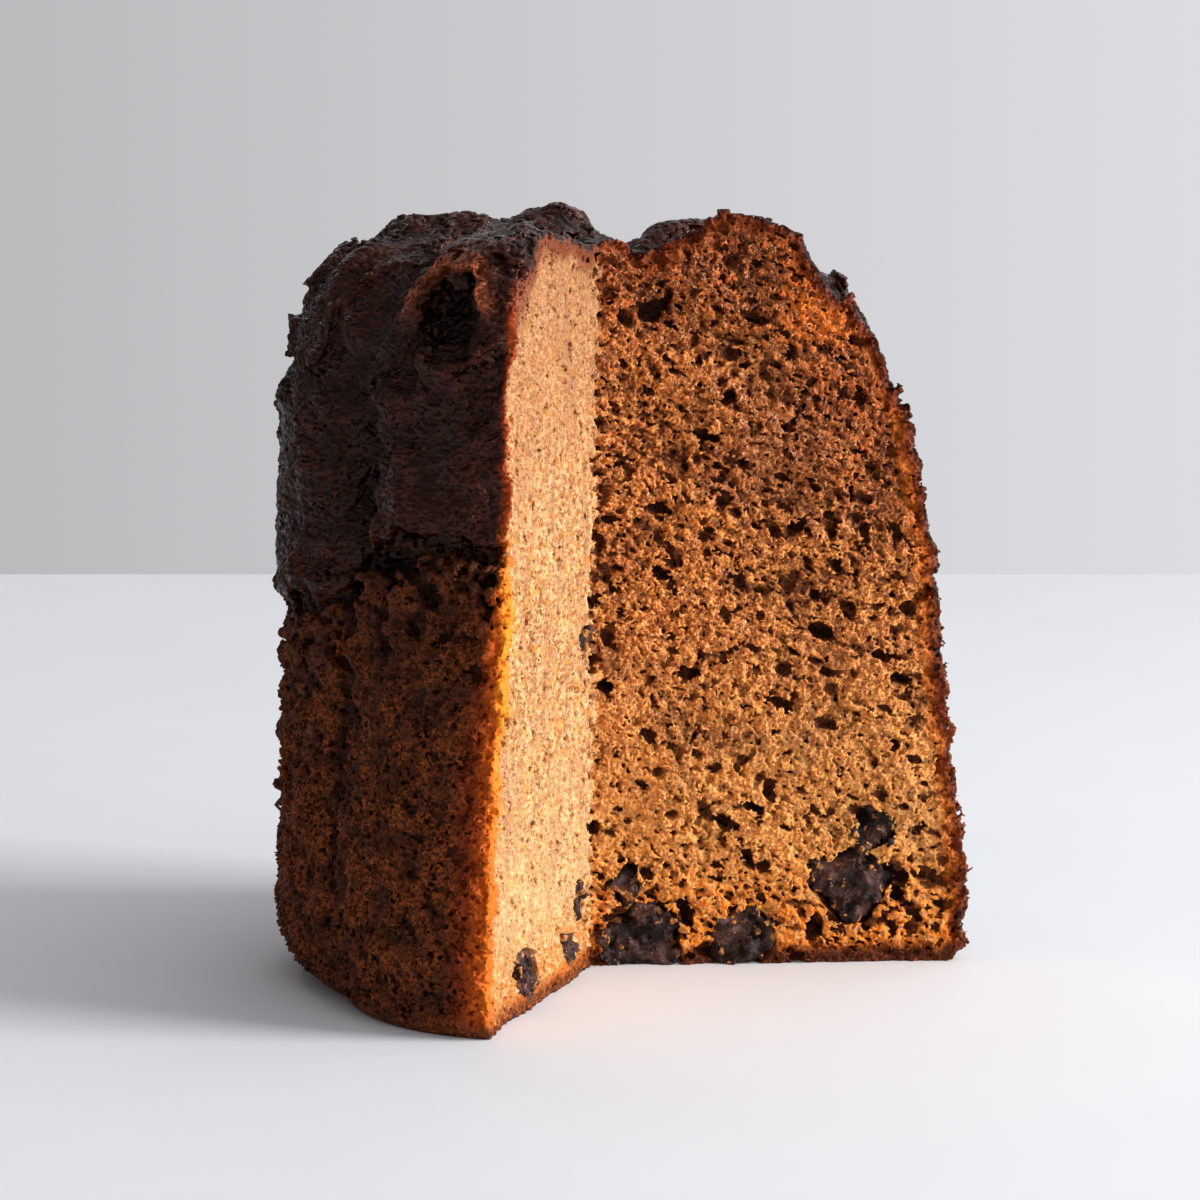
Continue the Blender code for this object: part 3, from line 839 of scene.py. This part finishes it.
def baked_crust(s, height, patch, speck, grain, wrinkle):
    """The crust's outside: dark and glossy where it rose, granular brown where the tin held it, with painted
    shade in its pits, hollows and wrinkle valleys, painted highlights on its ridges and wrinkle crests, and a
    painted glow beside the front cut.
    """
    ragged = s.math("MULTIPLY", s.math("SUBTRACT", patch, 0.5), 12.0)
    above = s.math("ADD", s.attribute("above_lip"), ragged)
    hollow = s.attribute("hollow")
    crumbly = s.noise(1.9, 4.0, 0.8)
    lower = s.mix(s.step(crumbly, 0.40, 0.57), (0.013, 0.0026, 0.0008), (0.29, 0.058, 0.0085))
    lower = s.mix(s.math("MULTIPLY", s.step(grain, 0.58, 0.70), 0.6), lower, (0.55, 0.18, 0.040))
    lower = s.mix(s.math("MULTIPLY", s.step(speck, 0.48, 0.36), 0.7), lower, (0.010, 0.0020, 0.0007))
    lower = s.mix(s.math("MULTIPLY", s.step(patch, 0.60, 0.36), 0.75), lower, (0.024, 0.0058, 0.0018))
    lower = s.mix(s.math("MULTIPLY", s.step(above, -26.0, 0.0), 0.45), lower, (0.024, 0.0050, 0.0016))
    # Painted shade: the tin's crust darkens where it is pressed in below the smooth outside, in its pits.
    lower = s.mix(s.math("MULTIPLY", s.step(hollow, 0.05, 0.7), 0.85), lower, (0.008, 0.0016, 0.0006))
    upper = s.mix(s.step(speck, 0.46, 0.70), (0.0050, 0.0012, 0.0007), (0.045, 0.0070, 0.0022))
    upper = s.mix(s.math("MULTIPLY", s.step(patch, 0.60, 0.40), 0.85), upper, (0.0050, 0.0012, 0.0008))
    # Painted highlight: the risen crust turns paler and redder where it stands out of the smooth outside.
    ridge = s.math("MULTIPLY", s.step(hollow, 0.0, -1.4), s.step(crumbly, 0.44, 0.60))
    upper = s.mix(s.math("MULTIPLY", ridge, 0.4), upper, (0.12, 0.018, 0.0055))
    # Painted highlights on the crests of the fine wrinkles and painted shade in their valleys, following the
    # same noise as their bump.
    upper = s.mix(s.math("MULTIPLY", s.step(wrinkle, 0.54, 0.68), 0.5), upper, (0.095, 0.024, 0.013))
    upper = s.mix(s.math("MULTIPLY", s.step(wrinkle, 0.50, 0.38), 0.8), upper, (0.0032, 0.0008, 0.0005))
    risen = s.step(above, -3.5, 1.5)
    colour = s.mix(risen, lower, upper)
    torn = s.math("MULTIPLY", s.attribute("torn_edge"), s.step(grain, 0.38, 0.58))
    colour = s.mix(s.math("MULTIPLY", s.attribute("torn_edge"), 0.8), colour, (0.10, 0.014, 0.004))
    colour = s.mix(torn, colour, (0.34, 0.085, 0.030))
    # Painted shade: near black where the crust is pressed in far and in the cleft between the left lobe and
    # the near one.
    painted_hollow_shade = s.math("MAXIMUM", s.step(hollow, 1.0, 2.6), s.step(s.attribute("painted_cleft_shade"), 0.25, 0.75))
    colour = s.mix(painted_hollow_shade, colour, (0.0032, 0.0008, 0.0006))
    # The light that comes through the crumb beside the front cut, painted into the colour as a glow: a thin
    # bright edge, redder and wider below.
    from_edge = s.attribute("behind_front")
    beside = s.math("MULTIPLY", s.step(from_edge, -1.6, -0.6), s.step(s.attribute("on_front"), 0.2, 0.6))
    inside_ends = s.math("MULTIPLY", s.step(height, 0.5, 3.0), s.step(height, 93.0, 84.0))
    beside = s.math("MULTIPLY", beside, inside_ends)
    reach = s.math("ADD", 1.4, s.math("MULTIPLY", s.step(height, 60.0, 30.0), 4.8))
    broken = s.math("MULTIPLY", s.math("SUBTRACT", speck, 0.5), 3.0)
    reached = s.math("ADD", from_edge, broken)
    share = s.math("DIVIDE", reached, reach)
    gold = s.mix(s.step(height, 26.0, 40.0), (0.66, 0.145, 0.005), (0.90, 0.27, 0.010))
    bright = s.mix(s.step(height, 64.0, 50.0), (0.30, 0.036, 0.003), gold)
    orange = s.mix(s.step(height, 64.0, 50.0), (0.13, 0.016, 0.002), (0.46, 0.075, 0.003))
    glow = s.mix(s.step(reached, 3.2, 1.2), (0.24, 0.028, 0.0024), orange)
    glow = s.mix(s.step(reached, 0.9, 0.1), glow, bright)
    return s.mix(s.math("MULTIPLY", s.step(share, 1.0, 0.25), beside), colour, glow), risen


def cake_material():
    s = Shader("cake")
    depth = s.attribute("depth")
    behind = s.attribute("behind")
    on_front = s.attribute("on_front")
    place = s.add("ShaderNodeSeparateXYZ")
    s.link(s.place, place.inputs[0])
    height = s.math("DIVIDE", place.outputs["Z"], MM)
    patch = s.noise(0.22, 3.0)
    speck = s.noise(1.0, 3.0, 0.7)
    grain = s.noise(2.4, 2.0, 0.7)
    thick = s.math("ADD", depth, s.math("MULTIPLY", s.math("SUBTRACT", patch, 0.5), 2.6))

    # From the crumb out to the crust: orange, then deep red. The front cut has only a thin line at its edge:
    # dark red at the top, and lower down a painted glow of light through the crumb, gold and wider towards
    # the base.
    browned = s.math("MULTIPLY", s.step(height, 62.0, 84.0), 0.75)
    orange = s.mix(browned, (0.60, 0.15, 0.012), (0.24, 0.050, 0.014))
    under = s.mix(s.step(thick, 0.7, 2.2), (0.15, 0.022, 0.0035), orange)
    open_crumb = right_crumb(s, place, height, thick, behind, patch, speck, grain)
    right = s.mix(s.step(thick, 1.3, 3.4), under, open_crumb)
    top = s.step(height, 82.0, 90.0)
    front = front_crumb(s, height, behind, grain)
    front = s.mix(s.math("MULTIPLY", s.step(thick, 5.0, 1.0), top), front, (0.17, 0.040, 0.012))
    edge = s.mix(s.step(height, 86.0, 76.0), (0.12, 0.030, 0.009), (0.34, 0.055, 0.007))
    # Painted glow: the gold of the front cut's edge lower down.
    gold = s.mix(s.step(height, 16.0, 34.0), (0.62, 0.145, 0.006), (0.82, 0.24, 0.010))
    edge = s.mix(s.step(height, 66.0, 50.0), edge, gold)
    rim = s.math("ADD", 0.8, s.math("MULTIPLY", s.step(height, 62.0, 46.0), 2.6))
    front = s.mix(s.step(s.math("DIVIDE", thick, rim), 0.25, 1.0), edge, front)
    inner = s.mix(on_front, right, front)
    dark_base = s.math("MULTIPLY", s.step(height, 3.2, 0.8), s.step(speck, 0.32, 0.50))
    inner = s.mix(s.math("MULTIPLY", dark_base, 0.9), inner, (0.050, 0.0105, 0.0028))
    wrinkle = s.noise(1.0, 3.0, 0.55, (0.8, 0.8, 1.9))
    baked, risen = baked_crust(s, height, patch, speck, grain, wrinkle)
    s.set("Base Color", s.mix(s.step(depth, 0.1, 0.6), baked, inner))

    crusted = s.step(depth, 1.0, 0.3)
    shine = s.math("MULTIPLY", s.math("MULTIPLY", crusted, risen), s.step(patch, 0.35, 0.55))
    rough = s.math("SUBTRACT", 0.60, s.math("MULTIPLY", shine, 0.36))
    s.set("Roughness", s.math("ADD", rough, s.math("MULTIPLY", s.math("SUBTRACT", speck, 0.5), 0.3)))
    s.set("Subsurface Weight", s.math("MULTIPLY", s.step(depth, 0.4, 1.8), 0.5))
    s.principled.inputs["Subsurface Radius"].default_value = (1.0, 0.40, 0.12)
    s.principled.inputs["Subsurface Scale"].default_value = 0.6 * MM
    s.principled.inputs["Specular IOR Level"].default_value = 0.34
    s.principled.inputs["Specular Tint"].default_value = (1.0, 0.56, 0.46, 1.0)
    normal = s.bump(s.mix(crusted, grain, wrinkle), 0.42, 0.9)
    s.set("Normal", s.bump(s.mix(s.math("MULTIPLY", crusted, risen), speck, patch), 0.2, 0.6, normal))
    return s.material


def chocolate_material():
    s = Shader("chocolate")
    patch = s.noise(0.35, 3.0)
    speck = s.noise(1.6, 3.0, 0.7)
    scratch = s.noise(0.9, 3.0, 0.6, (1.0, 1.0, 4.0))
    colour = s.mix(s.step(patch, 0.42, 0.62), (0.014, 0.0065, 0.0055), (0.085, 0.036, 0.028))
    colour = s.mix(s.math("MULTIPLY", s.step(scratch, 0.60, 0.74), 0.4), colour, (0.17, 0.085, 0.062))
    crumbs = s.mix(s.step(speck, 0.4, 0.6), (0.20, 0.060, 0.015), (0.62, 0.28, 0.075))
    s.set("Base Color", s.mix(s.step(s.attribute("crumbs"), 0.35, 0.6), colour, crumbs))
    s.set("Roughness", s.math("ADD", 0.42, s.math("MULTIPLY", speck, 0.35)))
    s.principled.inputs["Specular IOR Level"].default_value = 0.22
    normal = s.bump(speck, 0.14, 0.7)
    s.set("Normal", s.bump(scratch, 0.10, 0.6, normal))
    return s.material


def floor_material():
    s = Shader("pale_floor")
    s.set("Base Color", s.mix(s.noise(0.02, 2.0), (0.70, 0.71, 0.73), (0.74, 0.75, 0.77)))
    s.set("Roughness", s.math("ADD", 0.75, s.math("MULTIPLY", s.noise(0.2), 0.1)))
    return s.material


# ---------------------------------------------------------------- stage

def make_floor():
    """A pale table top that ends behind the cake."""
    mesh = bpy.data.meshes.new("floor")
    mesh.from_pydata([(-2.2, -2.2, 0), (2.2, -2.2, 0), (2.2, 0.36, 0), (-2.2, 0.36, 0)], [], [(0, 1, 2, 3)])
    floor = bpy.data.objects.new("floor", mesh)
    bpy.context.scene.collection.objects.link(floor)
    mesh.materials.append(floor_material())


def aim(thing, place, target):
    thing.location = place
    thing.rotation_euler = (Vector(target) - Vector(place)).to_track_quat("-Z", "Y").to_euler()


def make_light(name, place, target, size, power):
    data = bpy.data.lights.new(name, "AREA")
    data.shape = "RECTANGLE"
    data.size, data.size_y = size
    data.energy = power
    lamp = bpy.data.objects.new(name, data)
    bpy.context.scene.collection.objects.link(lamp)
    aim(lamp, place, target)


def make_world():
    """A soft studio: bright on the cake's right, dimmer on its left."""
    world = bpy.data.worlds.new("world")
    world.use_nodes = True
    tree = world.node_tree
    split = tree.nodes.new("ShaderNodeSeparateXYZ")
    tree.links.new(tree.nodes.new("ShaderNodeTexCoord").outputs["Generated"], split.inputs[0])
    ramp = tree.nodes.new("ShaderNodeMapRange")
    ramp.inputs["From Min"].default_value = -0.40
    ramp.inputs["From Max"].default_value = 0.35
    ramp.inputs["To Min"].default_value = 0.23
    ramp.inputs["To Max"].default_value = 0.98
    tree.links.new(split.outputs["X"], ramp.inputs["Value"])
    background = tree.nodes["Background"]
    background.inputs["Color"].default_value = (0.965, 0.965, 1.0, 1.0)
    tree.links.new(ramp.outputs["Result"], background.inputs["Strength"])
    bpy.context.scene.world = world


def make_stage():
    make_floor()
    make_world()
    make_light("window", (0.88, -0.19, 0.40), (0.0, 0.0, 0.04), (0.38, 0.38), 13.0)
    make_light("far_window", (-0.35, 0.60, 0.55), (0.0, 0.0, 0.07), (0.10, 0.10), 0.25)
    scene = bpy.context.scene
    scene.view_settings.view_transform = "Standard"
    scene.view_settings.look = "None"


def make_camera():
    data = bpy.data.cameras.new("camera")
    data.sensor_width = SENSOR_WIDTH
    data.lens = CAMERA_LENS
    data.clip_start = 0.01
    camera = bpy.data.objects.new("camera", data)
    bpy.context.scene.collection.objects.link(camera)
    camera.location = CAMERA_PLACE
    camera.rotation_euler = (math.radians(90.0 - CAMERA_TILT), 0.0, 0.0)
    bpy.context.scene.camera = camera


def main():
    cake = make_cake()
    cake.data.materials.append(cake_material())
    chocolate = chocolate_material()
    for index, chip in enumerate(CHIPS, start=1):
        make_chip(index, chip).data.materials.append(chocolate)
    make_stage()
    make_camera()


main()
